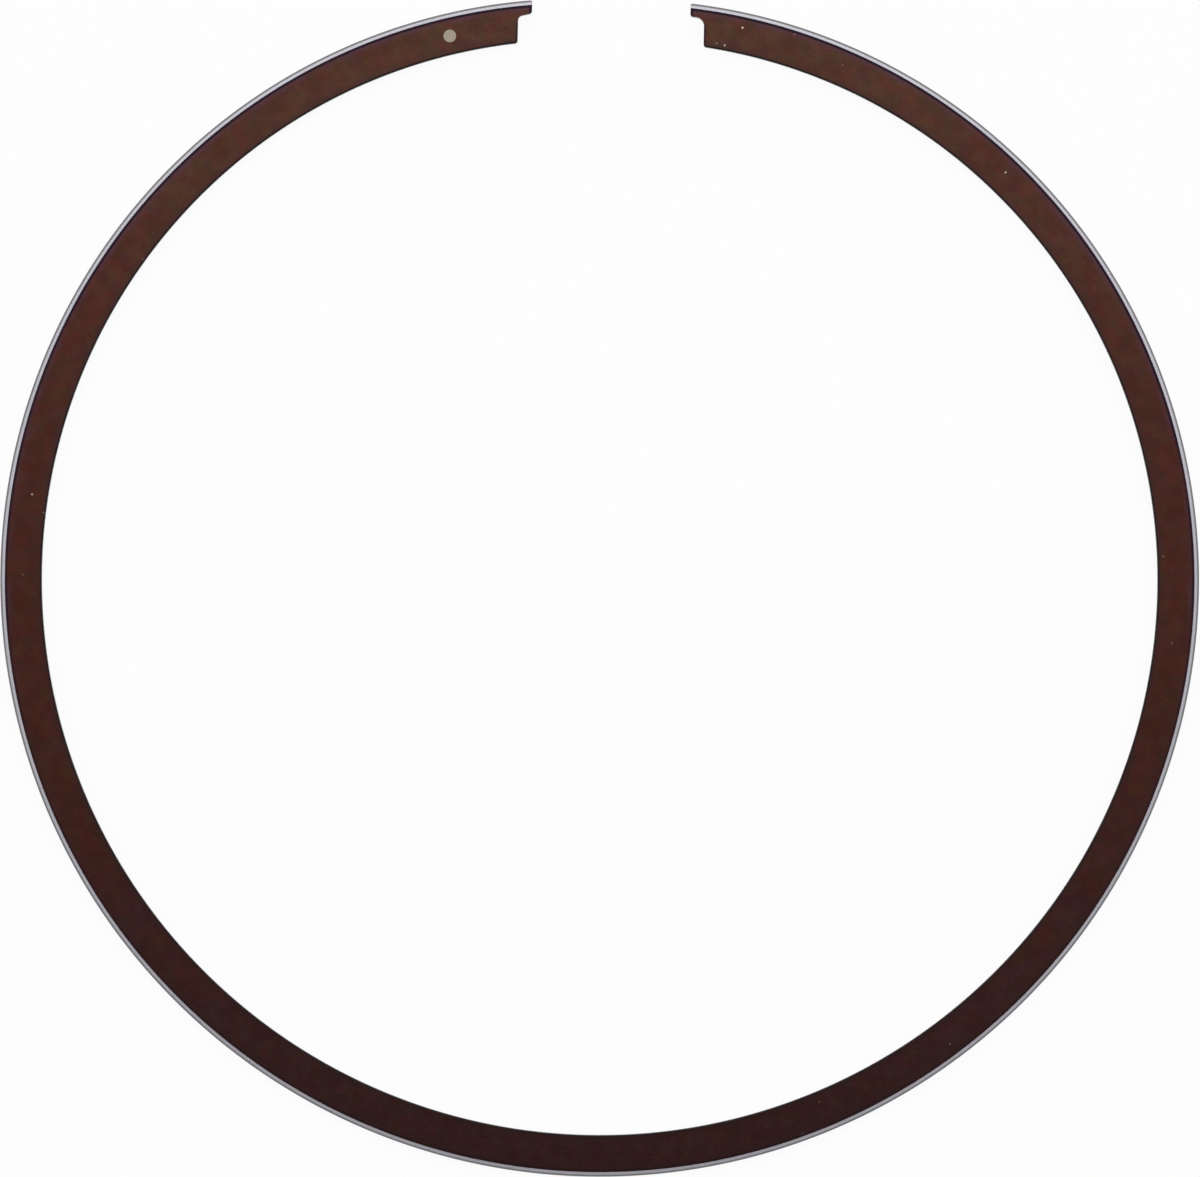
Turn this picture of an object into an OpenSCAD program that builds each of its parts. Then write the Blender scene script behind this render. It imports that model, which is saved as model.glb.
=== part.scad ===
// Pinned piston ring, lying free: one spring ring of near-square section, open at one place,
// with a thin lip at each end that closes over the pin in the piston's groove.
// The ring lies flat on its lower side, centred on its outer box, with the gap towards +Y.

/* [Fit] */
// Bore of the cylinder that the ring runs in
bore_d = 66.4; // [40:0.1:110]
// Height of the ring between its two flat sides
ring_h = 1; // [0.8:0.1:2.5]
// Radial thickness, from the inner wall to the running face
radial_t = 2.4; // [1.8:0.1:4]

/* [Free shape] */
// Gap between the tips of the two lips while the ring lies free
free_gap = 9.2; // [5:0.1:14]
// Gap that is left between the lips once the ring is in its bore
closed_gap = 0.2; // [0.1:0.05:0.8]
// How much longer along the gap's axis than across it the ring would close without a bore
ovality = 0.2; // [0:0.05:0.8]

/* [Running face] */
// How far the running face falls back from its crown to each edge
crown_drop = 0.01; // [0.005:0.005:0.03]
// Chamfer along the two edges of the running face
face_chamfer = 0.12; // [0.05:0.01:0.2]
// Chamfer along the two edges of the inner wall
inner_chamfer = 0.08; // [0.05:0.01:0.2]

/* [Ends] */
// Length of each lip, from its tip back to the shoulder of the pin recess
lip_len = 0.8; // [0.6:0.05:1.6]
// Radial thickness of each lip at its tip
lip_t = 0.76; // [0.5:0.02:1]
// Fillet in the corner under the left lip, as the gap is seen at the top
left_root_r = 0.3; // [0.1:0.05:0.5]
// Fillet in the corner under the right lip
right_root_r = 0.5; // [0.1:0.05:0.5]
// Angle at which the left lip thickens towards its root
left_taper = 8; // [0:1:10]
// Angle at which the right lip thickens towards its root
right_taper = 0; // [0:1:10]
// Rounding of the corner between a lip's tip and the running face
tip_r = 0.1; // [0.02:0.01:0.15]
// Rounding of the corner between a lip's tip and its underside
lip_corner_r = 0.14; // [0.04:0.01:0.2]
// Rounding of the corner between the shoulder and the inner wall
shoulder_r = 0.13; // [0.05:0.01:0.2]

/* [Hidden] */
$fn = 144;
// How far cuts run past the surfaces that they open
overrun = 0.5;
// The part cut off at a rounding reaches past the corner by this share of the rounding's radius
reach_share = 2;
// Each half of the ring is a chain of tangent arcs that all turn by the same angle
arc_count = 4;
arc_angle = 180 / arc_count;
last = arc_count - 1;
// Step to which radii are held and long moves are made
step = 0.01;
radians = PI / 180;
neutral_r = (bore_d - radial_t) / 2;
// Mean growth of the radius of curvature as the closed ring springs open
opening_share = (free_gap - closed_gap) / (3 * PI * (neutral_r + radial_t / 3));
// What the ovality takes from the radius at the back and the ends, and adds at the flanks
oval_share = 3 / 4 * ovality / neutral_r;
crown_r = (pow(ring_h / 2, 2) + pow(crown_drop, 2)) / (2 * crown_drop);
tip_x = free_gap / 2;
shoulder_x = tip_x + lip_len;

function unit(angle) = [cos(angle), sin(angle)];
function stepped(length) = round(length / step) * step;
// Length of the neutral line from the back to where its direction has turned by an angle. Its
// radius there is neutral_r * (1 + opening_share * (1 + cos(turn)) - oval_share * cos(2 * turn)).
function run(turn) = neutral_r * (turn * radians * (1 + opening_share)
    + opening_share * sin(turn) - oval_share / 2 * sin(2 * turn));
// An arc is as long as the stretch that it stands for, to the nearest step of its radius
function arc_r(i) = stepped((run((i + 1) * arc_angle) - run(i * arc_angle)) / (arc_angle * radians));
// Direction from an arc's centre to its start
function arc_start(i) = i * arc_angle - 90;
function arc_centre(i) = i == 0 ? [0, 0]
    : arc_centre(i - 1) + (arc_r(i - 1) - arc_r(i)) * unit(arc_start(i));

end_centre = arc_centre(last);
outer_r = arc_r(last) + radial_t / 2;
inner_r = arc_r(last) - radial_t / 2;
// Point on a circle about the last arc's centre, at a distance from the middle of the gap
function end_point(r, x) = [x, end_centre.y + sqrt(pow(r, 2) - pow(x - end_centre.x, 2))];
function end_angle(point) = atan2(point.y - end_centre.y, point.x - end_centre.x);
back_y = -arc_r(0) - radial_t / 2;
top_y = end_point(outer_r - tip_r, tip_x + tip_r).y + tip_r;

// Moves its children by whole steps and then by what is left, so that nothing is rounded off
module shift(place) {
    coarse = [stepped(place.x), stepped(place.y)];
    translate(coarse)
        translate(place - coarse)
            children();
}

// What a rounding takes off a corner, drawn about the rounding's middle. The two angles point
// from the middle to where the rounding meets the sides of the corner.
module corner_waste(middle, angle_a, angle_b, r) {
    reach = r * reach_share;
    shift(middle)
        difference() {
            polygon([
                [0, 0],
                reach * unit(angle_a),
                reach / cos((angle_b - angle_a) / 2) * unit((angle_a + angle_b) / 2),
                reach * unit(angle_b)
            ]);
            circle(r = r);
        }
}

// Section of the ring: x runs from the neutral line outwards, y is height above the lower side.
// The crown cuts off the point at which the two chamfers of the running face would meet.
module section() {
    inner_x = -radial_t / 2;
    side_x = radial_t / 2 - face_chamfer;
    intersection() {
        polygon([
            [inner_x, inner_chamfer],
            [inner_x + inner_chamfer, 0],
            [side_x, 0],
            [side_x + ring_h / 2, ring_h / 2],
            [side_x, ring_h],
            [inner_x + inner_chamfer, ring_h],
            [inner_x, ring_h - inner_chamfer]
        ]);
        shift([radial_t / 2 - crown_r, ring_h / 2])
            circle(r = crown_r);
    }
}

// One half of the ring, from its back to past the gap
module half_ring() {
    for (i = [0 : last])
        shift(arc_centre(i))
            rotate_extrude(angle = arc_angle, start = arc_start(i))
                translate([arc_r(i), 0])
                    section();
}

// Plan of the pin recess under one lip, drawn from the lower corner of the lip's tip
module recess(slope, root_r) {
    difference() {
        polygon([
            [0, 0],
            [-tip_x, 0],
            [-tip_x, -outer_r],
            [lip_len, -outer_r],
            [lip_len, -lip_len * tan(slope)]
        ]);
        corner_waste(
            [lip_len - root_r, (root_r - lip_len) * tan(slope) - root_r / cos(slope)],
            0, 90 - slope, root_r
        );
    }
    corner_waste(
        [lip_corner_r, lip_corner_r / cos(slope) - lip_corner_r * tan(slope)],
        180, 270 - slope, lip_corner_r
    );
}

// Plan of what is cut away at the right end: the gap, the pin recess and the roundings
module end_waste(taper, root_r) {
    corner = end_point(outer_r, tip_x);
    tip = end_point(outer_r - tip_r, tip_x + tip_r);
    shoulder = end_point(inner_r + shoulder_r, shoulder_x + shoulder_r);
    square([tip_x, top_y + overrun]);
    corner_waste(tip, end_angle(tip), 180, tip_r);
    corner_waste(shoulder, 180, 180 + end_angle(shoulder), shoulder_r);
    shift([tip_x, corner.y - lip_t])
        recess(90 - end_angle(corner) + taper, root_r);
}

module piston_ring() {
    color("#4f322b")
        translate([0, -(back_y + top_y) / 2, 0])
            difference() {
                union() {
                    half_ring();
                    mirror([1, 0, 0])
                        half_ring();
                }
                translate([0, 0, -overrun])
                    linear_extrude(height = ring_h + 2 * overrun) {
                        end_waste(right_taper, right_root_r);
                        mirror([1, 0])
                            end_waste(left_taper, left_root_r);
                    }
            }
}

piston_ring();
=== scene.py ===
import math

import bpy
from bpy.props import FloatProperty, FloatVectorProperty, IntProperty, PointerProperty
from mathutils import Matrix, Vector


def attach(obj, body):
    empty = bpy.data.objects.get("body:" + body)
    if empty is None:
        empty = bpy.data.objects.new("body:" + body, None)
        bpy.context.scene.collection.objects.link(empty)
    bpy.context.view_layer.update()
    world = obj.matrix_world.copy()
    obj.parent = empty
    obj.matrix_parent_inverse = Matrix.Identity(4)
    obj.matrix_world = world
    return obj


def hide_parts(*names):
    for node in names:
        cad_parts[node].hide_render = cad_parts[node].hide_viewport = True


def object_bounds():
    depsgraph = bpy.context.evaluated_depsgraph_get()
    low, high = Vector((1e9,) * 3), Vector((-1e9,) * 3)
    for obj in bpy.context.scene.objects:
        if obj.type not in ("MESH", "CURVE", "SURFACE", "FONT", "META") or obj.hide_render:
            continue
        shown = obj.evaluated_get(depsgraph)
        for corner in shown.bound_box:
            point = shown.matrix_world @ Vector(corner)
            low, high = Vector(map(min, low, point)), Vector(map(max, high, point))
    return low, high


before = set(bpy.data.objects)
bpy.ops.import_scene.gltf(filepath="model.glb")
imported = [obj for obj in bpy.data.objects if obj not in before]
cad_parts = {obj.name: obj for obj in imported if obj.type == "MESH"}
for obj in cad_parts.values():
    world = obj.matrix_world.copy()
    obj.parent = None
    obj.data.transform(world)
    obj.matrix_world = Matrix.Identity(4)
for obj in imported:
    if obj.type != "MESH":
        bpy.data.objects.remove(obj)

bl_info = {
    "name": "Pinned Piston Ring",
    "version": (1, 0, 0),
    "blender": (4, 5, 0),
    "location": "3D View > Sidebar > Piston Ring",
    "description": "Models a piston ring in its free shape, with its plated face, coat and marks",
    "category": "Object",
}

# What the ring's CAD solid measures: its lowest and highest corner
CAD_LOW, CAD_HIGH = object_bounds()
# Each half of the ring is a chain of this many tangent arcs, which turn by the same angle
ARC_COUNT = 4
ARC_TURN = math.pi / ARC_COUNT
# Step to which the arcs' radii are held
RADIUS_STEP = 1e-5
# Distance within which points count as being in one place, and a finer one for merging them
NEAR = 2e-6
MERGE = NEAR / 8
# How far cutters run past what they cut
OVERRUN = 5e-4
# Decimals, in metres, to which points on the running face are told apart by height
HEIGHT_DECIMALS = 7
# Points added across the running face for its crown
CROWN_CUTS = 5
# Segments of the roundings: in the corner under a lip, at its tip, at its underside and at the
# shoulder. A bevel's profile is round at a half.
ROOT_SEGMENTS = 12
TIP_SEGMENTS = 3
LIP_SEGMENTS = 4
SHOULDER_SEGMENTS = 4
ROUND = 0.5
# Sides of the etched dot
DOT_SIDES = 48
# A face counts as flat where its normal's height is above this
FLAT = 0.9
# Edges below this angle are shaded smooth, and how much large faces lead in that shading
SMOOTH_ANGLE = math.radians(28)
LARGE_FACE_WEIGHT = 100
# The ring's own UV map
UV_MAP = "along_and_in"
# One millimetre
MM = 1e-3
# Light specks on the upper side, in millimetres: length along the ring from its back, right of
# it above zero, then distance in from the running face, width, and strength up to 1
SPECKS = (
    (98.53, 2.08, 0.11, 0.35),
    (98.04, 2.11, 0.13, 0.8),
    (97.22, 0.90, 0.14, 1.0),
    (94.25, 0.49, 0.10, 0.25),
    (91.04, 1.20, 0.10, 0.25),
    (79.68, 1.15, 0.13, 0.9),
    (54.71, 2.06, 0.12, 0.3),
    (49.60, 1.38, 0.11, 0.25),
    (22.30, 0.94, 0.13, 0.3),
    (14.00, 1.79, 0.13, 0.15),
    (12.40, 0.44, 0.11, 0.2),
    (-52.25, 1.32, 0.10, 0.25),
    (-55.99, 2.28, 0.11, 0.3),
    (-56.96, 1.48, 0.15, 0.6),
    (-72.50, 2.28, 0.10, 0.2),
)


# Settings

def length(name, description, default):
    """A setting in metres, shown in the scene's units."""
    return FloatProperty(
        name=name, description=description, default=default, min=0.0, unit="LENGTH", precision=6
    )


def colour(name, description, default):
    """A setting that holds a surface's own colour."""
    return FloatVectorProperty(
        name=name, description=description, default=default, size=3, min=0, max=1, subtype="COLOR"
    )


class RingSizes(bpy.types.PropertyGroup):
    bore: length("Bore", "Bore of the cylinder that the ring runs in", 0.0664)
    radial_t: length("Radial thickness", "From the inner wall to the running face", 0.0024)
    free_gap: length("Free gap", "Between the lips' tips while the ring lies free", 0.0092)
    closed_gap: length("Closed gap", "Between the lips' tips in the bore", 0.0002)
    ovality: length("Ovality", "How much longer than wide the ring closes by itself", 0.0002)
    crown_drop: length("Crown", "How far the running face falls back to each edge", 0.00001)
    face_chamfer: length("Face chamfer", "Chamfer along the running face's edges", 0.00012)
    inner_chamfer: length("Inner chamfer", "Chamfer along the inner wall's edges", 0.00008)
    band: length("Plated band", "Width of the bright band seen on a flat side", 0.00028)
    lip_len: length("Lip length", "From the tip back to the recess's shoulder", 0.0008)
    lip_t: length("Lip thickness", "Radial thickness of a lip at its tip", 0.00076)
    left_root_r: length("Left fillet", "Fillet under the left lip", 0.0003)
    right_root_r: length("Right fillet", "Fillet under the right lip", 0.0005)
    left_taper: FloatProperty(
        name="Left taper", description="Angle at which the left lip thickens towards its root",
        default=math.radians(8), subtype="ANGLE",
    )
    right_taper: FloatProperty(
        name="Right taper", description="Angle at which the right lip thickens towards its root",
        default=0, subtype="ANGLE",
    )
    tip_r: length("Tip rounding", "Corner between a tip and the running face", 0.0001)
    lip_corner_r: length("Lip rounding", "Corner between a tip and its underside", 0.00014)
    shoulder_r: length("Shoulder rounding", "Corner between shoulder and inner wall", 0.00013)
    arc_steps: IntProperty(
        name="Steps", description="Sections drawn along each arc", default=45, min=8, max=90
    )
    dot_d: length("Dot", "Width of the etched dot that shows which side is up", 0.00074)
    dot_depth: length("Dot depth", "How deep the dot is etched", 0.000008)
    dot_turn: FloatProperty(
        name="Dot place", description="Angle from the gap's middle to the dot, to the left",
        default=math.radians(14.45), subtype="ANGLE",
    )
    dot_inset: length("Dot inset", "From the running face to the middle of the dot", 0.00133)


class RingColours(bpy.types.PropertyGroup):
    coat_back: colour("Coat at the back", "Oxide coat round the ring's back", (0.0500, 0.0193, 0.0210))
    coat_flank: colour("Coat at the flanks", "Redder coat half way round", (0.0545, 0.0166, 0.0120))
    coat_ends: colour("Coat at the ends", "More golden coat near the gap", (0.0575, 0.0242, 0.0166))
    stain_red: colour("Red stain", "What red patches let through", (1.0, 0.80, 0.85))
    stain_olive: colour("Olive stain", "What olive patches let through", (0.91, 1.0, 0.93))
    stain_rust: colour("Rust stain", "What rust patches let through", (1.0, 1.0, 0.75))
    stain_violet: colour("Violet stain", "What violet patches let through", (1.0, 0.96, 1.0))
    coat_dark: colour("Dark blotches", "Faint dark blotches in the coat", (0.036, 0.0165, 0.0145))
    coat_blue: colour("Blued zone", "Tint beside the plated band", (0.057, 0.0250, 0.0370))
    # This dark colour is also painted as shade at the lips' tips and shoulders
    coat_line: colour("Edge line", "Dark line where the coat ends at the band", (0.011, 0.0042, 0.0105))
    wall: colour("Walls", "Darker coat on the inner wall and the ends", (0.026, 0.0135, 0.0130))
    plating: colour("Plating", "Ground hard plating on the running face", (0.46, 0.450, 0.495))
    # A darker copy of the plating, painted on the chamfers as shade
    chamfer: colour("Chamfer", "Duller plating on the running face's chamfers", (0.21, 0.207, 0.216))
    etch: colour("Etched dot", "Bared metal in the dot", (0.36, 0.31, 0.25))
    speck: colour("Specks", "Light specks of dust and bared metal", (0.48, 0.42, 0.34))
    floor: colour("Floor", "Plain pale floor", (0.88, 0.88, 0.88))


class StageSettings(bpy.types.PropertyGroup):
    camera_height: length("Camera height", "From the ring's lower side up to the lens", 0.80)
    view_width: length("View width", "Width that the picture shows at the upper side", 0.06961)
    roll: FloatProperty(
        name="Roll", description="How far the ring lies turned in the picture",
        default=math.radians(1.17), subtype="ANGLE",
    )
    aim_right: length("Aim right", "Camera's place right of the ring's middle", 0.000031)
    aim_up: length("Aim up", "Camera's place up the picture from the middle", 0.000047)


# Shape of the ring

def unit(angle):
    return Vector((math.cos(angle), math.sin(angle), 0))


def arc_radii(sizes):
    """Radii of the neutral line's arcs, from the back to the gap. The radius of curvature there is
    neutral * (1 + opening * (1 + cos(turn)) - oval * cos(2 * turn))."""
    neutral = (sizes.bore - sizes.radial_t) / 2
    opening = (sizes.free_gap - sizes.closed_gap) / (3 * math.pi * (neutral + sizes.radial_t / 3))
    oval = 3 / 4 * sizes.ovality / neutral

    def run(turn):
        swell = opening * math.sin(turn) - oval / 2 * math.sin(2 * turn)
        return neutral * (turn * (1 + opening) + swell)

    exact = [(run((i + 1) * ARC_TURN) - run(i * ARC_TURN)) / ARC_TURN for i in range(ARC_COUNT)]
    return [round(r / RADIUS_STEP) * RADIUS_STEP for r in exact]


def arc_start(i):
    """Direction from an arc's centre to where the arc starts."""
    return i * ARC_TURN - math.pi / 2


def arc_centres(sizes):
    """Centres of the right half's arcs. The first arc starts at the CAD box's back edge."""
    radii = arc_radii(sizes)
    centres = [Vector((0, CAD_LOW.y + radii[0] + sizes.radial_t / 2, 0))]
    for i in range(1, ARC_COUNT):
        centres.append(centres[-1] + (radii[i - 1] - radii[i]) * unit(arc_start(i)))
    return centres


def end_height(sizes, radius, x):
    """Height in plan, at a distance from the gap's middle, of a circle about the last centre."""
    centre = arc_centres(sizes)[-1]
    return centre.y + math.sqrt(radius ** 2 - (x - centre.x) ** 2)


def place_on_ring(sizes, point):
    """Length along the ring from its back, and distance in from the running face."""
    radii, centres = arc_radii(sizes), arc_centres(sizes)
    right = Vector((abs(point.x), point.y, 0))
    just_behind = 3 / 2 * math.pi
    along, i = 0.0, 0
    while True:
        spoke = right - centres[i]
        turned = (math.atan2(spoke.y, spoke.x) - arc_start(i)) % (2 * math.pi)
        if turned > just_behind:
            turned = 0.0
        if turned <= ARC_TURN or i == ARC_COUNT - 1:
            break
        along += radii[i] * ARC_TURN
        i += 1
    inset = radii[i] + sizes.radial_t / 2 - spoke.length
    return math.copysign(along + radii[i] * turned, point.x), inset


# Work on meshes

def deselect_all():
    for obj in bpy.context.selected_objects:
        obj.select_set(False)


def activate(obj):
    deselect_all()
    obj.select_set(True)
    bpy.context.view_layer.objects.active = obj


def apply_transform(obj):
    activate(obj)
    bpy.ops.object.transform_apply(location=True, rotation=True, scale=True)


def edit_mode():
    bpy.ops.object.mode_set(mode="EDIT")


def object_mode():
    bpy.ops.object.mode_set(mode="OBJECT")


def edit_all(obj):
    activate(obj)
    edit_mode()
    bpy.ops.mesh.select_all(action="SELECT")


def select_where(obj, verts=None, edges=None):
    """Selects the points or the edges that a test picks, and stays in edit mode."""
    edit_mode()
    bpy.ops.mesh.select_mode(type="VERT" if verts else "EDGE")
    bpy.ops.mesh.select_all(action="DESELECT")
    object_mode()
    points = obj.data.vertices
    if verts:
        picked = [v for v in points if verts(v.co)]
    else:
        picked = [e for e in obj.data.edges if edges(*(points[i].co for i in e.vertices))]
    if not picked:
        raise RuntimeError(f"nothing to select on {obj.name}")
    for element in picked:
        element.select = True
    edit_mode()


def cut_corners(obj, verts, size):
    """Cuts off the corners of a flat outline that a test picks."""
    select_where(obj, verts=verts)
    bpy.ops.mesh.bevel(offset=size, segments=1, affect="VERTICES")
    object_mode()


def round_edges(obj, edges, offset, segments):
    """Rounds the edges that a test picks."""
    select_where(obj, edges=edges)
    bpy.ops.mesh.bevel(offset=offset, segments=segments, profile=ROUND, affect="EDGES")
    object_mode()


def point_outwards(obj):
    edit_all(obj)
    bpy.ops.mesh.normals_make_consistent(inside=False)
    object_mode()


def apply_modifier(obj, kind, **settings):
    activate(obj)
    modifier = obj.modifiers.new(kind.title(), kind)
    for name, value in settings.items():
        setattr(modifier, name, value)
    bpy.ops.object.modifier_apply(modifier=modifier.name)


def block(name, low, high):
    """A box between two corners, as a start for a cutter."""
    bpy.ops.mesh.primitive_cube_add(size=1, location=(Vector(low) + Vector(high)) / 2)
    obj = bpy.context.active_object
    obj.name = name
    obj.scale = Vector(high) - Vector(low)
    apply_transform(obj)
    return obj


def cut(obj, cutter):
    apply_modifier(obj, "BOOLEAN", operation="DIFFERENCE", solver="EXACT", object=cutter)
    bpy.data.objects.remove(cutter)


# The ring

def draw_section(sizes):
    """Draws the closed line of the ring's section at its back, where it crosses x = 0."""
    height = CAD_HIGH.z - CAD_LOW.z
    outer_y, inner_y = CAD_LOW.y, CAD_LOW.y + sizes.radial_t
    middle = CAD_LOW.z + height / 2
    deselect_all()
    bpy.ops.mesh.primitive_plane_add(
        size=1, location=(0, (outer_y + inner_y) / 2, middle), rotation=(0, math.pi / 2, 0)
    )
    ring = bpy.context.active_object
    ring.name = "piston_ring_finished"
    ring.scale = (height, sizes.radial_t, 1)
    apply_transform(ring)

    cut_corners(ring, lambda co: co.y < outer_y + NEAR, sizes.face_chamfer)
    cut_corners(ring, lambda co: co.y > inner_y - NEAR, sizes.inner_chamfer)
    select_where(ring, edges=lambda a, b: max(a.y, b.y) < outer_y + NEAR)
    bpy.ops.mesh.subdivide(number_cuts=CROWN_CUTS)
    object_mode()

    # The running face is crowned: each pair of points moves back by the square of its height
    edge_y = outer_y + sizes.face_chamfer - NEAR
    on_face = [v.co for v in ring.data.vertices if v.co.y < edge_y]
    for level in sorted({round(abs(co.z - middle), HEIGHT_DECIMALS) for co in on_face}):
        if level == 0:
            continue
        select_where(
            ring,
            verts=lambda co: co.y < edge_y and abs(abs(co.z - middle) - level) < MERGE,
        )
        drop = sizes.crown_drop * (2 * level / height) ** 2
        bpy.ops.transform.translate(value=(0, drop, 0))
        object_mode()

    # Only the outline stays, with a point where the band ends on each side
    edit_all(ring)
    bpy.ops.mesh.delete(type="ONLY_FACE")
    bpy.ops.mesh.select_all(action="SELECT")
    bpy.ops.mesh.bisect(plane_co=(0, outer_y + sizes.band, 0), plane_no=(0, 1, 0), threshold=MERGE)
    object_mode()
    return ring


def sweep_half(ring, sizes):
    """Spins the section round the arcs of the right half, and mirrors it to the left."""
    radii, centres = arc_radii(sizes), arc_centres(sizes)
    outer_r = radii[-1] + sizes.radial_t / 2
    # The last arc runs on past the tip, to half way from there to the gap's middle
    past_tip = math.acos((sizes.free_gap / 4 - centres[-1].x) / outer_r)
    edit_all(ring)
    for i, centre in enumerate(centres):
        turn = ARC_TURN if i < ARC_COUNT - 1 else past_tip - arc_start(i)
        bpy.ops.mesh.spin(
            steps=sizes.arc_steps, angle=-turn, center=centre, axis=(0, 0, 1), use_auto_merge=False
        )
    bpy.ops.mesh.edge_face_add()
    object_mode()
    apply_modifier(
        ring, "MIRROR", use_axis=(True, False, False), use_mirror_merge=True, merge_threshold=NEAR
    )
    edit_all(ring)
    bpy.ops.mesh.remove_doubles(threshold=MERGE)
    object_mode()
    point_outwards(ring)


def recess_cutter(sizes, side, taper, root_r):
    """The pin recess under one lip, as a block whose upper wall slopes like the lip's underside."""
    centre = arc_centres(sizes)[-1]
    outer_r = arc_radii(sizes)[-1] + sizes.radial_t / 2
    tip_x = sizes.free_gap / 2
    shoulder_x = tip_x + sizes.lip_len
    slope = math.asin((tip_x - centre.x) / outer_r) + taper
    under_y = end_height(sizes, outer_r, tip_x) - sizes.lip_t
    root_y = under_y - sizes.lip_len * math.tan(slope)
    low_y = end_height(sizes, outer_r - sizes.radial_t, shoulder_x) - OVERRUN
    cutter = block(
        "recess_cutter",
        (tip_x - OVERRUN, low_y, CAD_LOW.z - OVERRUN),
        (shoulder_x, root_y, CAD_HIGH.z + OVERRUN),
    )
    select_where(
        cutter,
        edges=lambda a, b: max(a.x, b.x) < tip_x and min(a.y, b.y) > root_y - NEAR,
    )
    rise = (sizes.lip_len + OVERRUN) * math.tan(slope)
    bpy.ops.transform.translate(value=(0, rise, 0))
    object_mode()
    half_corner = (math.pi / 2 + slope) / 2
    round_edges(
        cutter,
        lambda a, b: min(a.x, b.x) > shoulder_x - NEAR and min(a.y, b.y) > root_y - NEAR,
        root_r / math.tan(half_corner),
        ROOT_SEGMENTS,
    )
    if side < 0:
        cutter.scale.x = -1
        apply_transform(cutter)
        point_outwards(cutter)
    return cutter


def round_ends(ring, sizes):
    """Rounds the corners of both lips and shoulders, on the upright edges."""
    tip_x = sizes.free_gap / 2
    shoulder_x = tip_x + sizes.lip_len
    outer_r = arc_radii(sizes)[-1] + sizes.radial_t / 2
    corner_y = end_height(sizes, outer_r, tip_x)
    under_y = corner_y - sizes.lip_t
    wall_y = end_height(sizes, outer_r - sizes.radial_t, shoulder_x)

    def upright(x, low, high):
        """Test for the edges at a distance from the gap's middle that rise between two places."""
        def test(a, b):
            sides = (abs(abs(a.x) - x) < NEAR, abs(abs(b.x) - x) < NEAR)
            inside = low < min(a.y, b.y) and max(a.y, b.y) < high
            return all(sides) and a.x * b.x > 0 and inside and abs(a.z - b.z) > NEAR
        return test

    face_reach = sizes.face_chamfer + sizes.crown_drop + NEAR
    tips = upright(tip_x, corner_y - face_reach, corner_y + NEAR)
    round_edges(ring, tips, sizes.tip_r, TIP_SEGMENTS)
    lips = upright(tip_x, under_y - NEAR, under_y + NEAR)
    round_edges(ring, lips, sizes.lip_corner_r, LIP_SEGMENTS)
    wall_reach = sizes.inner_chamfer + 2 * NEAR
    shoulders = upright(shoulder_x, wall_y - NEAR, wall_y + wall_reach)
    round_edges(ring, shoulders, sizes.shoulder_r, SHOULDER_SEGMENTS)


def etch_dot(ring, sizes):
    """Sinks the round mark that shows which side is up into the upper side."""
    centre = arc_centres(sizes)[-1]
    radius = arc_radii(sizes)[-1] + sizes.radial_t / 2 - sizes.dot_inset
    spoke = unit(math.pi / 2 - sizes.dot_turn)
    middle = centre + radius * spoke
    height = 2 * OVERRUN
    bpy.ops.mesh.primitive_cylinder_add(
        vertices=DOT_SIDES, radius=sizes.dot_d / 2, depth=height,
        location=(-middle.x, middle.y, CAD_HIGH.z - sizes.dot_depth + height / 2),
    )
    cutter = bpy.context.active_object
    apply_transform(cutter)
    cut(ring, cutter)


def lay_uv(ring, sizes):
    """Own map of the ring, in metres: U runs along it from the back, V in from the running face."""
    layer = ring.data.uv_layers.new(name=UV_MAP)
    places = [place_on_ring(sizes, v.co) for v in ring.data.vertices]
    for loop in ring.data.loops:
        layer.data[loop.index].uv = places[loop.vertex_index]


def paint_ring(ring, sizes):
    """Gives the plated face, the etched dot, the walls and the rest of the coat their materials."""
    for make in (coat_material, plating_material, etch_material, wall_material):
        ring.data.materials.append(make())
    coat, plating, etch, wall = range(len(ring.data.materials))
    uv = ring.data.uv_layers[UV_MAP].data
    dot_z = CAD_HIGH.z - sizes.dot_depth
    for face in ring.data.polygons:
        insets = [uv[i].uv.y for i in face.loop_indices]
        on_tip = abs(abs(face.center.x) - sizes.free_gap / 2) < NEAR
        if abs(face.center.z - dot_z) < sizes.dot_depth / 2 and face.normal.z > FLAT:
            face.material_index = etch
        elif max(insets) < sizes.band + NEAR and not on_tip:
            face.material_index = plating
        elif abs(face.normal.z) < FLAT:
            face.material_index = wall
        else:
            face.material_index = coat


class RING_OT_piston_ring(bpy.types.Operator):
    """Model the ring: section, sweep, lips, pin recesses and the etched dot"""

    bl_idname = "piston_ring.ring"
    bl_label = "Piston Ring"

    def execute(self, context):
        sizes = context.scene.ring_sizes
        tip_x = sizes.free_gap / 2
        ring = draw_section(sizes)
        sweep_half(ring, sizes)
        cut(ring, block(
            "gap_cutter",
            (-tip_x, CAD_HIGH.y - 2 * sizes.radial_t, CAD_LOW.z - OVERRUN),
            (tip_x, CAD_HIGH.y + 2 * OVERRUN, CAD_HIGH.z + OVERRUN),
        ))
        cut(ring, recess_cutter(sizes, 1, sizes.right_taper, sizes.right_root_r))
        cut(ring, recess_cutter(sizes, -1, sizes.left_taper, sizes.left_root_r))
        round_ends(ring, sizes)
        etch_dot(ring, sizes)
        activate(ring)
        bpy.ops.object.shade_smooth_by_angle(angle=SMOOTH_ANGLE)
        apply_modifier(ring, "WEIGHTED_NORMAL", keep_sharp=True, weight=LARGE_FACE_WEIGHT)
        lay_uv(ring, sizes)
        paint_ring(ring, sizes)
        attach(ring, "root")
        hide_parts("piston_ring")
        return {"FINISHED"}


# Finishes
# Lengths along the ring from its back, and in from its running face, are in millimetres here. A
# noise's settings are its scale, detail and roughness.

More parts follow.
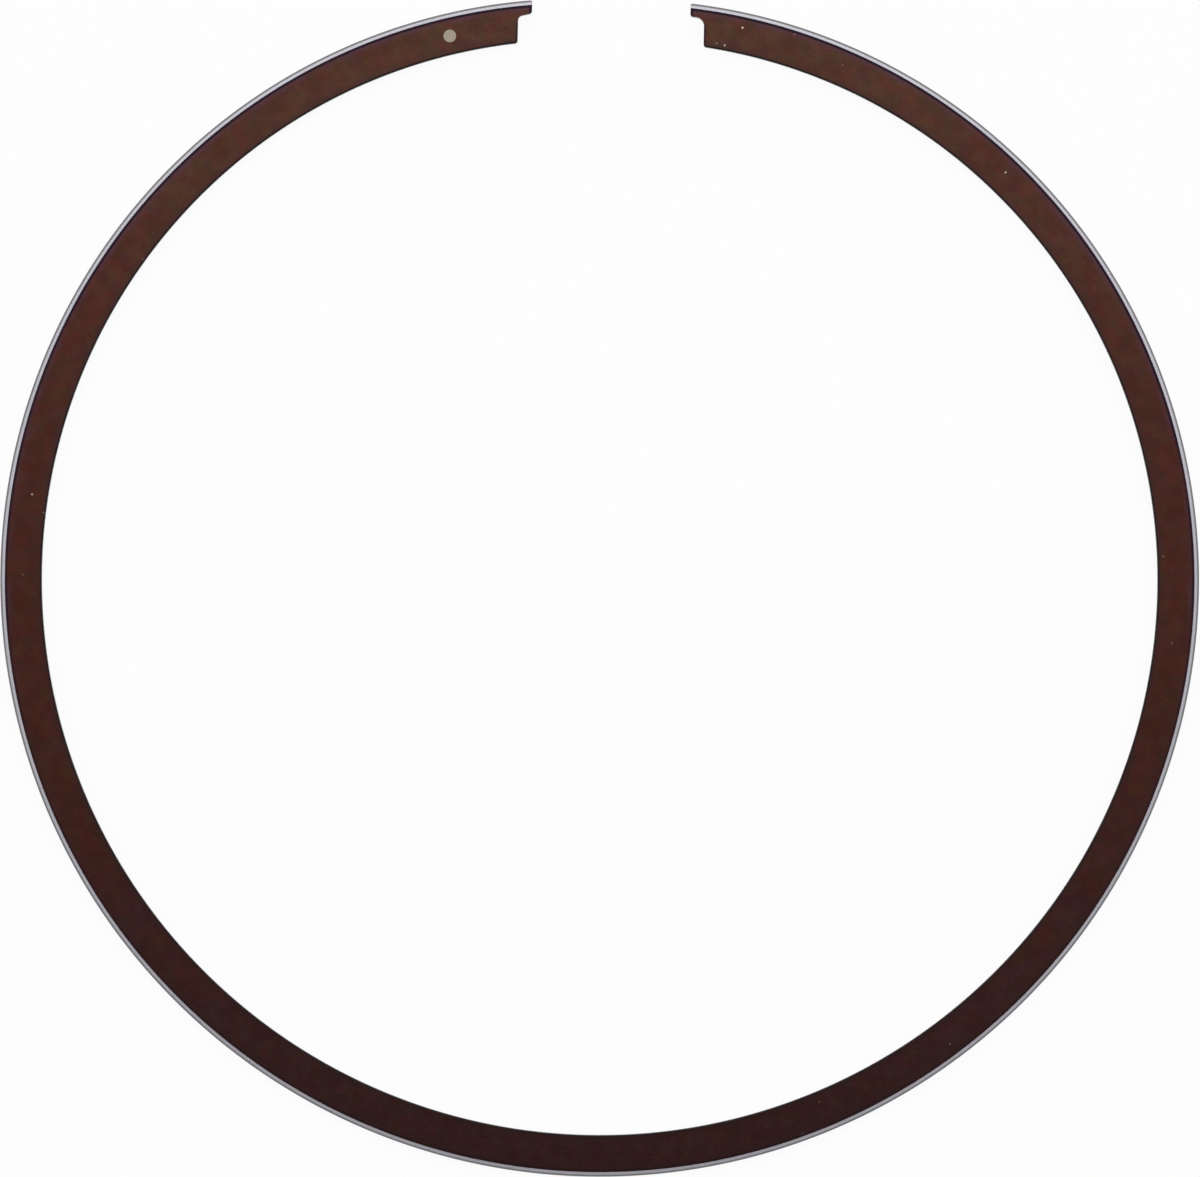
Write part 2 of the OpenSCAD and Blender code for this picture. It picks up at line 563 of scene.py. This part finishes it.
# Values of a noise between which its patches fade, from soft patches to hard ones
SOFT = (0.3, 0.7)
EVEN = (0.35, 0.65)
FIRM = (0.36, 0.64)
HARD = (0.42, 0.58)
# Marks of the lapping or grinding: what lengths along the ring are multiplied by, which draws the
# marks out, and their scale. All have the same detail, and share one even grain.
COAT_MARKS = (0.06, 30.0)
WALL_MARKS = (0.08, 22.0)
FACE_MARKS = (0.04, 45.0)
MARKS_DETAIL = 3
GRAIN_NOISE = (14, 4)
# Share of a speck's radius within which it is full
SPECK_CORE = 0.5
# Where the coat turns from the back's colour to the flanks', where from theirs to the ends', and
# how far these places wander
FLANKS_FROM = (15, 45)
ENDS_FROM = (58, 95)
WANDER = (-8, 8)
WANDER_NOISE = (0.35, 2, 0.5)
# Stains, shades, blotches and grain in the coat
RED_NOISE = (1.2, 3, 0.6)
RUST_NOISE = (1.0, 3, 0.6)
SHADE_NOISE = (0.9, 4, 0.65)
SHADE_LEVELS = (0.88, 1.14)
BLOTCH_NOISE = (1.7, 3, 0.55)
BLOTCH_SPAN = (0.52, 0.72)
BLOTCH_SHARE = 0.45
GRAIN_SPAN = (0.35, 0.8)
GRAIN_SHARE = 0.3
STREAK_NOISE = (0.55, 3, 0.7)
# The blued zone beside the band: how far in it fades, how streaks vary it, and where along the
# ring it grows from its least share
BLUED_REACH = (0.1, 0.5)
BLUED_STREAKS = (0.3, 1)
BLUED_FROM = (40, 70)
BLUED_LEAST = 0.1
# The smoky zone beside the band, which only the back has
SMOKE_REACH = (0, 1)
SMOKE_SHARE = 0.5
SMOKE_UNTIL = (30, 55)
# The dark line at the band's edge
LINE_REACH = (0.09, 0.19)
LINE_FROM = (35, 70)
LINE_LEAST = 0.4
# The darker zone and the rim at the inner wall, measured out from it
FADE_REACH = (0.6, 0.15)
FADE_STREAKS = (0.6, 0.3)
RIM_REACH = (0.16, 0.09)
RIM_SHARE = 0.8
# Painted shade: dark rims at the tips and the shoulders, measured along from them, and below the lip's
# root
TIP_SHADE_REACH = (0.12, 0.21)
TIP_SHADE_SHARE = 0.95
SHOULDER_SHADE_REACH = (0.08, 0.16)
SHOULDER_SHADE_SHARE = 0.7
BELOW_ROOT = (0.1, 0.5)
END_SHADE_FROM = (80, 90)
# The coat's gloss, and the height and strength of its marks
COAT_ROUGHNESS = (0.25, 0.31)
COAT_METALLIC = 0.9
COAT_BUMP = (0.002 * MM, 0.35)
# The walls
WALL_NOISE = (1.3, 4, 0.6)
WALL_SPAN = (0.35, 0.7)
WALL_GRAIN_SPAN = (0.45, 0.8)
WALL_GRAIN_SHARE = 0.35
WALL_ROUGHNESS = (0.38, 0.48)
WALL_BUMP = (0.004 * MM, 0.5)
# The plating: light and dark marks, wide clouds, the blur at the edges of the chamfers' painted shade,
# and the darker edge against the coat
PLATING_SPAN = (0.25, 0.75)
PLATING_LEVELS = (0.90, 1.06)
CLOUD_NOISE = (0.4, 2)
CLOUD_LEVELS = (0.94, 1.0)
CHAMFER_BLUR = 0.01
PLATING_EDGE = 0.03
PLATING_EDGE_SHARE = 0.6
PLATING_ROUGHNESS = (0.30, 0.38)
PLATING_BUMP = (0.002 * MM, 0.4)
# The etched dot
FROST_NOISE = (24, 3, 0.7)
FROST_LEVELS = (0.78, 1.15)
ETCH_METALLIC = 0.4
ETCH_ROUGHNESS = 0.6
ETCH_BUMP = (0.004 * MM, 0.5)
# The floor, and how much of it shows as plain white
FLOOR_ROUGHNESS = 0.9
FLOOR_WHITE = 0.93

# Width of a column of nodes in the editor
COLUMN_WIDTH = 220
# Where a Mix node keeps its two colours and its result
MIX_A, MIX_B, MIX_RESULT = 6, 7, 2


class Sheet:
    """The nodes of a material, a group or the world, laid out from left to right as added."""

    def __init__(self, tree):
        self.tree = tree
        self.column = 0

    def add(self, kind, **settings):
        node = self.tree.nodes.new(kind)
        node.location = (self.column * COLUMN_WIDTH, 0)
        self.column += 1
        for name, value in settings.items():
            setattr(node, name, value)
        return node

    def link(self, source, target):
        self.tree.links.new(source, target)

    def fill(self, socket, value):
        if isinstance(value, bpy.types.NodeSocket):
            self.link(value, socket)
        else:
            socket.default_value = value

    def fill_all(self, node, values):
        for socket, value in zip(node.inputs, values):
            self.fill(socket, value)

    def math(self, operation, a, b=0.0):
        node = self.add("ShaderNodeMath", operation=operation)
        self.fill(node.inputs[0], a)
        self.fill(node.inputs[1], b)
        return node.outputs[0]

    def product(self, a, b):
        return self.math("MULTIPLY", a, b)

    def ramp(self, value, span, ends=(0.0, 1.0)):
        """Smooth change from one end to the other while a value goes through a span."""
        node = self.add("ShaderNodeMapRange", interpolation_type="SMOOTHSTEP")
        self.fill_all(node, (value, *span, *ends))
        return node.outputs[0]

    def mix(self, share, a, b, blend="MIX"):
        node = self.add("ShaderNodeMix", data_type="RGBA", blend_type=blend)
        self.fill(node.inputs[0], share)
        self.fill(node.inputs[MIX_A], a)
        self.fill(node.inputs[MIX_B], b)
        return node.outputs[MIX_RESULT]

    def tint(self, a, b):
        """One colour times another, or times a level."""
        return self.mix(1.0, a, b, "MULTIPLY")

    def noise(self, vector, scale, detail=2.0, roughness=0.5):
        node = self.add("ShaderNodeTexNoise")
        self.fill(node.inputs["Vector"], vector)
        self.fill(node.inputs["Scale"], scale)
        node.inputs["Detail"].default_value = detail
        node.inputs["Roughness"].default_value = roughness
        return node.outputs[0]

    def scaled(self, vector, scale):
        node = self.add("ShaderNodeMapping")
        self.fill(node.inputs["Vector"], vector)
        node.inputs["Scale"].default_value = scale
        return node.outputs[0]

    def point(self, x, y, z=0.0):
        node = self.add("ShaderNodeCombineXYZ")
        self.fill_all(node, (x, y, z))
        return node.outputs[0]

    def coordinates(self, vector):
        node = self.add("ShaderNodeSeparateXYZ")
        self.link(vector, node.inputs[0])
        return node.outputs


def rgba(colour_setting):
    return (*colour_setting, 1.0)


def past(start, reach):
    """A span that starts at a place and reaches on from it."""
    return start + reach[0], start + reach[1]


def short_of(end, reach):
    """A span that ends at a place and reaches back from it."""
    return end - reach[0], end - reach[1]


def new_material(name):
    material = bpy.data.materials.new(name)
    material.use_nodes = True
    shader = material.node_tree.nodes["Principled BSDF"]
    return material, Sheet(material.node_tree), shader


def new_group(name, inputs):
    """A node group with named number inputs, its sheet, and the sockets that hand them on."""
    group = bpy.data.node_groups.new(name, "ShaderNodeTree")
    for label in inputs:
        group.interface.new_socket(name=label, in_out="INPUT", socket_type="NodeSocketFloat")
    sheet = Sheet(group)
    given = sheet.add("NodeGroupInput").outputs
    return group, sheet, [given[label] for label in inputs]


def put_out(group, sheet, results):
    """Gives a node group its named outputs."""
    for label in results:
        group.interface.new_socket(name=label, in_out="OUTPUT", socket_type="NodeSocketFloat")
    sheet.fill_all(sheet.add("NodeGroupOutput"), results.values())


def lapping_group():
    """Fine marks that run along the ring, left by lapping the sides and grinding the face."""
    name = "lapping_marks"
    if name in bpy.data.node_groups:
        return bpy.data.node_groups[name]
    group, sheet, given = new_group(name, ("Along", "In", "Up", "Stretch", "Fineness"))
    along, inset, up, stretch, fineness = given
    drawn_out = sheet.point(sheet.product(along, stretch), inset, up)
    marks = sheet.noise(drawn_out, fineness, MARKS_DETAIL)
    grain = sheet.noise(sheet.point(along, inset, up), *GRAIN_NOISE)
    put_out(group, sheet, {"Marks": marks, "Grain": grain})
    return group


def speck_group():
    """One round speck at a place along and in on the flat sides."""
    name = "speck"
    if name in bpy.data.node_groups:
        return bpy.data.node_groups[name]
    group, sheet, given = new_group(name, ("Along", "In", "At along", "At in", "Size"))
    along, inset, at_along, at_inset, size = given
    offset = sheet.point(
        sheet.math("SUBTRACT", along, at_along), sheet.math("SUBTRACT", inset, at_inset)
    )
    away = sheet.add("ShaderNodeVectorMath", operation="LENGTH")
    sheet.link(offset, away.inputs[0])
    radius = sheet.product(size, 1 / 2)
    core = sheet.product(radius, SPECK_CORE)
    put_out(group, sheet, {"Mask": sheet.ramp(away.outputs["Value"], (core, radius), (1, 0))})
    return group


def lapping(sheet, along, inset, up, stretch, fineness):
    node = sheet.add("ShaderNodeGroup", node_tree=lapping_group())
    sheet.fill_all(node, (along, inset, up, stretch, fineness))
    return node.outputs[0], node.outputs[1]


def ring_place(sheet):
    """Sockets of the length along the ring and of the distance in from its face, in millimetres."""
    uv = sheet.add("ShaderNodeUVMap", uv_map=UV_MAP)
    parts = sheet.coordinates(sheet.scaled(uv.outputs[0], (1 / MM, 1 / MM, 1)))
    return parts[0], parts[1]


def place_in_mm(sheet):
    """Sockets of a point's place, its distance from the gap's axis and its height, in millimetres."""
    place = sheet.add("ShaderNodeTexCoord")
    millimetres = sheet.scaled(place.outputs["Object"], (1 / MM,) * 3)
    parts = sheet.coordinates(millimetres)
    return millimetres, sheet.math("ABSOLUTE", parts[0]), parts[2]


def bump(sheet, shader, height, distance, strength):
    node = sheet.add("ShaderNodeBump")
    node.inputs["Strength"].default_value = strength
    node.inputs["Distance"].default_value = distance
    sheet.link(height, node.inputs["Height"])
    sheet.link(node.outputs[0], shader.inputs["Normal"])


def coat_zones(sheet, place, along):
    """The coat's colour along the ring, and how far from the back a point counts as being."""
    colours = bpy.context.scene.ring_colours
    wander = sheet.ramp(sheet.noise(place, *WANDER_NOISE), SOFT, WANDER)
    from_back = sheet.math("ADD", sheet.math("ABSOLUTE", along), wander)
    flanks = sheet.ramp(from_back, FLANKS_FROM)
    tone = sheet.mix(flanks, rgba(colours.coat_back), rgba(colours.coat_flank))
    tone = sheet.mix(sheet.ramp(from_back, ENDS_FROM), tone, rgba(colours.coat_ends))
    return tone, from_back


def coat_mottling(sheet, place, grain, tone):
    """Coloured stains, light and dark shades, blotches and grain."""
    colours = bpy.context.scene.ring_colours
    for settings, dull, clear in (
        (RED_NOISE, colours.stain_red, colours.stain_olive),
        (RUST_NOISE, colours.stain_rust, colours.stain_violet),
    ):
        patch = sheet.ramp(sheet.noise(place, *settings), HARD)
        tone = sheet.tint(tone, sheet.mix(patch, rgba(dull), rgba(clear)))
    tone = sheet.tint(tone, sheet.ramp(sheet.noise(place, *SHADE_NOISE), FIRM, SHADE_LEVELS))
    blotch = sheet.ramp(sheet.noise(place, *BLOTCH_NOISE), BLOTCH_SPAN, (0, BLOTCH_SHARE))
    tone = sheet.mix(blotch, tone, rgba(colours.coat_dark))
    speckle = sheet.ramp(grain, GRAIN_SPAN, (0, GRAIN_SHARE))
    return sheet.mix(speckle, tone, rgba(colours.coat_dark))


def coat_beside_band(sheet, inset, from_back, streak, tone):
    """The blued zone, the back's smoky zone and the dark line where the coat meets the band."""
    colours = bpy.context.scene.ring_colours
    band = bpy.context.scene.ring_sizes.band / MM
    streaks = sheet.ramp(streak, EVEN, BLUED_STREAKS)
    share = sheet.product(streaks, sheet.ramp(from_back, BLUED_FROM, (BLUED_LEAST, 1)))
    blued = sheet.product(sheet.ramp(inset, past(band, BLUED_REACH), (1, 0)), share)
    tone = sheet.mix(blued, tone, rgba(colours.coat_blue))
    smoke = sheet.ramp(inset, past(band, SMOKE_REACH), (SMOKE_SHARE, 0))
    smoke = sheet.product(smoke, sheet.ramp(from_back, SMOKE_UNTIL, (1, 0)))
    tone = sheet.mix(smoke, tone, rgba(colours.coat_dark))
    line = sheet.ramp(inset, past(band, LINE_REACH), (1, 0))
    line = sheet.product(line, sheet.ramp(from_back, LINE_FROM, (LINE_LEAST, 1)))
    return sheet.mix(line, tone, rgba(colours.coat_line))


def coat_at_wall(sheet, inset, streak, tone):
    """The darker zone and the rim along the inner wall."""
    colours = bpy.context.scene.ring_colours
    width = bpy.context.scene.ring_sizes.radial_t / MM
    fade = sheet.ramp(inset, short_of(width, FADE_REACH))
    fade = sheet.product(fade, sheet.ramp(streak, EVEN, FADE_STREAKS))
    tone = sheet.mix(fade, tone, rgba(colours.coat_dark))
    rim = sheet.ramp(inset, short_of(width, RIM_REACH), (0, RIM_SHARE))
    return sheet.mix(rim, tone, rgba(colours.wall))


def painted_end_shade(sheet, inset, aside, from_back, tone):
    """Painted shade: dark rims at the lips' tips and at the shoulders."""
    colours = bpy.context.scene.ring_colours
    sizes = bpy.context.scene.ring_sizes
    tip = sizes.free_gap / 2 / MM
    shoulder = tip + sizes.lip_len / MM
    root = sizes.lip_t / MM
    # Painted shade: the coat is darkened beside the tips and the shoulders, where their rounded edges
    # look dark
    at_end = sheet.ramp(from_back, END_SHADE_FROM)
    tip_shade = sheet.product(sheet.ramp(aside, past(tip, TIP_SHADE_REACH), (TIP_SHADE_SHARE, 0)), at_end)
    tone = sheet.mix(tip_shade, tone, rgba(colours.coat_line))
    shoulder_shade = sheet.ramp(aside, past(shoulder, SHOULDER_SHADE_REACH), (SHOULDER_SHADE_SHARE, 0))
    shoulder_shade = sheet.product(shoulder_shade, at_end)
    shoulder_shade = sheet.product(shoulder_shade, sheet.ramp(inset, past(root, BELOW_ROOT)))
    return sheet.mix(shoulder_shade, tone, rgba(colours.coat_line))


def coat_specks(sheet, along, inset, up, tone):
    """Light specks, on the upper side only."""
    colours = bpy.context.scene.ring_colours
    specks = 0.0
    for at_along, at_inset, size, strength in SPECKS:
        speck = sheet.add("ShaderNodeGroup", node_tree=speck_group())
        sheet.fill_all(speck, (along, inset, at_along, at_inset, size))
        specks = sheet.math("MAXIMUM", specks, sheet.product(speck.outputs[0], strength))
    middle = (CAD_LOW.z + CAD_HIGH.z) / 2 / MM
    specks = sheet.product(specks, sheet.math("GREATER_THAN", up, middle))
    return sheet.mix(specks, tone, rgba(colours.speck))


def coat_material():
    """Brown oxide on the flat sides: mottled, lined beside the band and dark at its edges, with painted
    shade at the lips' tips and shoulders.
    """
    material, sheet, shader = new_material("oxide_coat")
    along, inset = ring_place(sheet)
    place, aside, up = place_in_mm(sheet)
    marks, grain = lapping(sheet, along, inset, up, *COAT_MARKS)
    streak = sheet.noise(place, *STREAK_NOISE)
    tone, from_back = coat_zones(sheet, place, along)
    tone = coat_mottling(sheet, place, grain, tone)
    tone = coat_beside_band(sheet, inset, from_back, streak, tone)
    tone = coat_at_wall(sheet, inset, streak, tone)
    tone = painted_end_shade(sheet, inset, aside, from_back, tone)
    tone = coat_specks(sheet, along, inset, up, tone)
    sheet.link(tone, shader.inputs["Base Color"])
    sheet.link(sheet.ramp(marks, SOFT, COAT_ROUGHNESS), shader.inputs["Roughness"])
    shader.inputs["Metallic"].default_value = COAT_METALLIC
    bump(sheet, shader, marks, *COAT_BUMP)
    return material


def wall_material():
    """Dull dark coat on the inner wall, the lips and the ends, which aren't lapped."""
    colours = bpy.context.scene.ring_colours
    material, sheet, shader = new_material("wall_coat")
    along, inset = ring_place(sheet)
    place, _, up = place_in_mm(sheet)
    marks, grain = lapping(sheet, along, inset, up, *WALL_MARKS)
    cloud = sheet.ramp(sheet.noise(place, *WALL_NOISE), WALL_SPAN)
    tone = sheet.mix(cloud, rgba(colours.wall), rgba(colours.coat_line))
    speckle = sheet.ramp(grain, WALL_GRAIN_SPAN, (0, WALL_GRAIN_SHARE))
    tone = sheet.mix(speckle, tone, rgba(colours.coat_dark))
    sheet.link(tone, shader.inputs["Base Color"])
    sheet.link(sheet.ramp(marks, SOFT, WALL_ROUGHNESS), shader.inputs["Roughness"])
    shader.inputs["Metallic"].default_value = COAT_METALLIC
    bump(sheet, shader, marks, *WALL_BUMP)
    return material


def plating_material():
    """Bright ground plating on the running face and on the band beside it, with painted shade on the
    chamfers.
    """
    colours = bpy.context.scene.ring_colours
    sizes = bpy.context.scene.ring_sizes
    material, sheet, shader = new_material("plated_face")
    along, inset = ring_place(sheet)
    place, _, up = place_in_mm(sheet)
    marks, grain = lapping(sheet, along, inset, up, *FACE_MARKS)
    tone = sheet.tint(rgba(colours.plating), sheet.ramp(marks, PLATING_SPAN, PLATING_LEVELS))
    tone = sheet.tint(tone, sheet.ramp(sheet.noise(place, *CLOUD_NOISE), SOFT, CLOUD_LEVELS))

    # Painted shade: the chamfers take a darker copy of the plating's colour
    blur = (-CHAMFER_BLUR, CHAMFER_BLUR)
    width = sizes.face_chamfer / MM
    half_height = (CAD_HIGH.z - CAD_LOW.z) / 2 / MM
    from_middle = sheet.math("ABSOLUTE", sheet.math("SUBTRACT", up, CAD_LOW.z / MM + half_height))
    near_face = sheet.ramp(inset, past(width, blur), (1, 0))
    near_side = sheet.ramp(from_middle, past(half_height - width, blur))
    tone = sheet.mix(sheet.product(near_face, near_side), tone, rgba(colours.chamfer))
    edge = sheet.ramp(inset, short_of(sizes.band / MM, (PLATING_EDGE, 0)), (0, PLATING_EDGE_SHARE))
    tone = sheet.mix(edge, tone, rgba(colours.coat_line))
    sheet.link(tone, shader.inputs["Base Color"])
    sheet.link(sheet.ramp(grain, SOFT, PLATING_ROUGHNESS), shader.inputs["Roughness"])
    shader.inputs["Metallic"].default_value = 1.0
    bump(sheet, shader, marks, *PLATING_BUMP)
    return material


def etch_material():
    """Matt bared metal where the coat was etched away."""
    colours = bpy.context.scene.ring_colours
    material, sheet, shader = new_material("etched_mark")
    frost = sheet.noise(place_in_mm(sheet)[0], *FROST_NOISE)
    tone = sheet.tint(rgba(colours.etch), sheet.ramp(frost, SOFT, FROST_LEVELS))
    sheet.link(tone, shader.inputs["Base Color"])
    shader.inputs["Metallic"].default_value = ETCH_METALLIC
    shader.inputs["Roughness"].default_value = ETCH_ROUGHNESS
    bump(sheet, shader, frost, *ETCH_BUMP)
    return material


def floor_material():
    """Plain pale floor, lifted to white for the camera but still holding the ring's shadow."""
    colours = bpy.context.scene.ring_colours
    material, sheet, shader = new_material("pale_floor")
    shader.inputs["Base Color"].default_value = rgba(colours.floor)
    shader.inputs["Roughness"].default_value = FLOOR_ROUGHNESS
    shader.inputs["Specular IOR Level"].default_value = 0.0
    path = sheet.add("ShaderNodeLightPath").outputs
    seen = sheet.math("MAXIMUM", path["Is Camera Ray"], path["Is Glossy Ray"])
    seen = sheet.math("MAXIMUM", seen, path["Is Transmission Ray"])
    white = sheet.add("ShaderNodeEmission")
    blend = sheet.add("ShaderNodeMixShader")
    sheet.fill_all(
        blend, (sheet.product(seen, FLOOR_WHITE), shader.outputs[0], white.outputs[0])
    )
    output = material.node_tree.nodes["Material Output"]
    sheet.link(blend.outputs[0], output.inputs["Surface"])
    return material


# Stage

# Softboxes: name, place, point that it faces or none for the ring, size, power and tint
SOFTBOXES = (
    ("overhead_softbox", (0, 0.27, 0.62), (0, 0.27, 0), (0.7, 0.54), 2.28, (1.0, 0.99, 0.985)),
    ("left_fill", (-0.5, -0.1, 0.5), None, (0.3, 0.3), 0.8, (0.95, 0.97, 1.0)),
    ("right_fill", (0.5, -0.1, 0.5), None, (0.3, 0.3), 0.9, (0.95, 0.97, 1.0)),
)
# The room's light, by direction: its tint, the heights between which its level falls, that level
# below and above them, and what it is multiplied by from the ring's back over to its gap
ROOM_TINT = (1.0, 0.98, 0.97)
ROOM_HEIGHTS = (0.5, 0.92)
ROOM_LEVELS = (0.65, 0.09)
SIDE_LEVELS = (0.48, 1.6)
# The floor, and how far below the ring it lies
FLOOR_SIZE = 3
FLOOR_GAP = 0.02 * MM
# The camera's sensor in millimetres, and the nearest and farthest that it sees
SENSOR_WIDTH = 36
CAMERA_CLIP = (0.01, 10)


def softbox(name, place, aim, size, power, tint):
    light = bpy.data.lights.new(name, "AREA")
    light.color = tint
    light.shape = "RECTANGLE"
    light.size, light.size_y = size
    light.energy = power
    obj = bpy.data.objects.new(name, light)
    bpy.context.scene.collection.objects.link(obj)
    obj.location = place
    obj.rotation_euler = (Vector(aim) - Vector(place)).to_track_quat("-Z", "Y").to_euler()


def studio_world():
    """A pale room with a dark ceiling, so that the overhead softbox gives the ring its shading."""
    world = bpy.data.worlds.new("studio")
    world.use_nodes = True
    sheet = Sheet(world.node_tree)
    direction = sheet.coordinates(sheet.add("ShaderNodeTexCoord").outputs["Generated"])
    level = sheet.ramp(direction[2], ROOM_HEIGHTS, ROOM_LEVELS)
    level = sheet.product(level, sheet.ramp(direction[1], (-1, 1), SIDE_LEVELS))
    back = world.node_tree.nodes["Background"]
    back.inputs["Color"].default_value = rgba(ROOM_TINT)
    sheet.link(level, back.inputs["Strength"])
    return world


class RING_OT_stage(bpy.types.Operator):
    """Add the floor, the soft lights and the camera straight above the ring"""

    bl_idname = "piston_ring.stage"
    bl_label = "Stage"

    def execute(self, context):
        scene = context.scene
        settings = scene.ring_stage
        deselect_all()
        bpy.ops.mesh.primitive_plane_add(size=FLOOR_SIZE, location=(0, 0, CAD_LOW.z - FLOOR_GAP))
        floor = context.active_object
        floor.name = "floor"
        floor.data.materials.append(floor_material())

        middle = (CAD_LOW + CAD_HIGH) / 2
        for name, place, aim, size, power, tint in SOFTBOXES:
            softbox(name, place, aim or middle, size, power, tint)
        scene.world = studio_world()

        camera = bpy.data.cameras.new("camera")
        camera.sensor_width = SENSOR_WIDTH
        reach = settings.camera_height - (CAD_HIGH.z - CAD_LOW.z)
        camera.lens = camera.sensor_width * reach / settings.view_width
        camera.clip_start, camera.clip_end = CAMERA_CLIP
        rig = bpy.data.objects.new("camera", camera)
        scene.collection.objects.link(rig)
        right = unit(settings.roll)
        up = unit(settings.roll + math.pi / 2)
        aim = middle + settings.aim_right * right + settings.aim_up * up
        rig.location = (aim.x, aim.y, settings.camera_height)
        rig.rotation_euler = (0, 0, settings.roll)
        scene.camera = rig
        scene.view_settings.view_transform = "Standard"
        return {"FINISHED"}


class RING_PT_panel(bpy.types.Panel):
    bl_label = "Piston Ring"
    bl_idname = "RING_PT_panel"
    bl_space_type = "VIEW_3D"
    bl_region_type = "UI"
    bl_category = "Piston Ring"

    def draw(self, context):
        layout = self.layout
        scene = context.scene
        for operator in (RING_OT_piston_ring, RING_OT_stage):
            layout.operator(operator.bl_idname)
        for group in (scene.ring_sizes, scene.ring_colours, scene.ring_stage):
            box = layout.box()
            for name in group.bl_rna.properties.keys():
                if name not in ("rna_type", "name"):
                    box.prop(group, name)


CLASSES = (
    RingSizes, RingColours, StageSettings, RING_OT_piston_ring, RING_OT_stage, RING_PT_panel,
)


def register():
    for cls in CLASSES:
        bpy.utils.register_class(cls)
    bpy.types.Scene.ring_sizes = PointerProperty(type=RingSizes)
    bpy.types.Scene.ring_colours = PointerProperty(type=RingColours)
    bpy.types.Scene.ring_stage = PointerProperty(type=StageSettings)


def unregister():
    del bpy.types.Scene.ring_stage
    del bpy.types.Scene.ring_colours
    del bpy.types.Scene.ring_sizes
    for cls in reversed(CLASSES):
        bpy.utils.unregister_class(cls)


def main():
    register()
    bpy.ops.piston_ring.ring()
    bpy.ops.piston_ring.stage()


if __name__ == "__main__":
    main()
